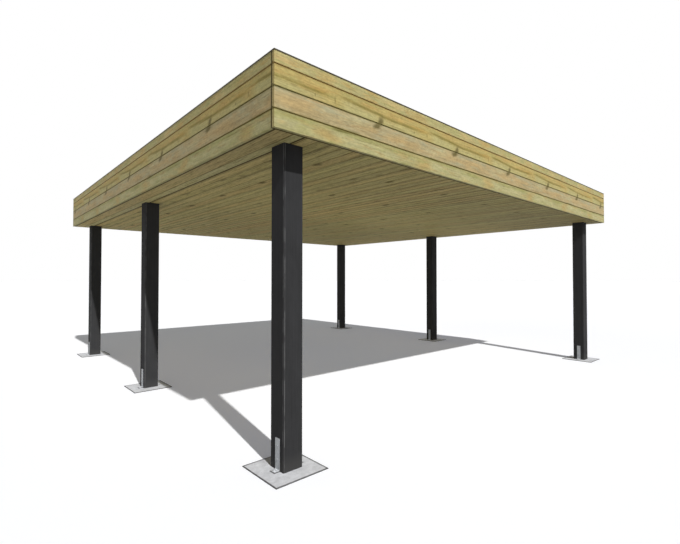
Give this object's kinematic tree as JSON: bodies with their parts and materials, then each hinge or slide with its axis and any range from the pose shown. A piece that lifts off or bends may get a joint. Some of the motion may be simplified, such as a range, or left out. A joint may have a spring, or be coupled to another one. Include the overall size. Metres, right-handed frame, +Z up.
{
  "type": "carport",
  "caption": "Open flat-roofed carport: dark square posts on concrete pads carry a boxed timber roof with rebated fascia boards and a boarded soffit.",
  "frame": {"origin": "on the ground under the middle of the roof", "axes": "+Z up, +X along the front to the right, the front looks towards -Y"},
  "size_m": [6.004, 6.004, 2.549],
  "materials": {
    "concrete": "trowelled concrete, matte",
    "painted_post": "black opaque paint on sawn timber, satin",
    "galvanised_steel": "hot-dip galvanised, dull spangle",
    "treated_pine": "planed pressure-treated pine, matte",
    "soffit_pine": "planed pressure-treated pine, matte",
    "frame_timber": "sawn softwood",
    "plywood": "sheathing plywood",
    "roofing_sheet": "matte roofing sheet",
    "dark_trim": "dark coated metal, satin"
  },
  "bodies": {
    "root": {"pad_left_front": "concrete", "post_left_front": "painted_post", "brackets_left_front": "galvanised_steel", "pad_left_middle": "concrete", "post_left_middle": "painted_post", "brackets_left_middle": "galvanised_steel", "pad_left_back": "concrete", "post_left_back": "painted_post", "brackets_left_back": "galvanised_steel", "pad_right_front": "concrete", "post_right_front": "painted_post", "brackets_right_front": "galvanised_steel", "pad_right_middle": "concrete", "post_right_middle": "painted_post", "brackets_right_middle": "galvanised_steel", "pad_right_back": "concrete", "post_right_back": "painted_post", "brackets_right_back": "galvanised_steel", "fascia_front_board_1": "treated_pine", "fascia_front_board_2": "treated_pine", "fascia_front_board_3": "treated_pine", "fascia_front_board_4": "treated_pine", "fascia_right_board_1": "treated_pine", "fascia_right_board_2": "treated_pine", "fascia_right_board_3": "treated_pine", "fascia_right_board_4": "treated_pine", "fascia_back_board_1": "treated_pine", "fascia_back_board_2": "treated_pine", "fascia_back_board_3": "treated_pine", "fascia_back_board_4": "treated_pine", "fascia_left_board_1": "treated_pine", "fascia_left_board_2": "treated_pine", "fascia_left_board_3": "treated_pine", "fascia_left_board_4": "treated_pine", "soffit_field": "soffit_pine", "soffit_strip_left": "soffit_pine", "soffit_strip_right": "soffit_pine", "beam_left": "frame_timber", "beam_right": "frame_timber", "joists": "frame_timber", "end_rims": "frame_timber", "side_rims": "frame_timber", "roof_deck": "plywood", "roof_membrane": "roofing_sheet", "edge_trim": "dark_trim"}
  },
  "joints": []
}
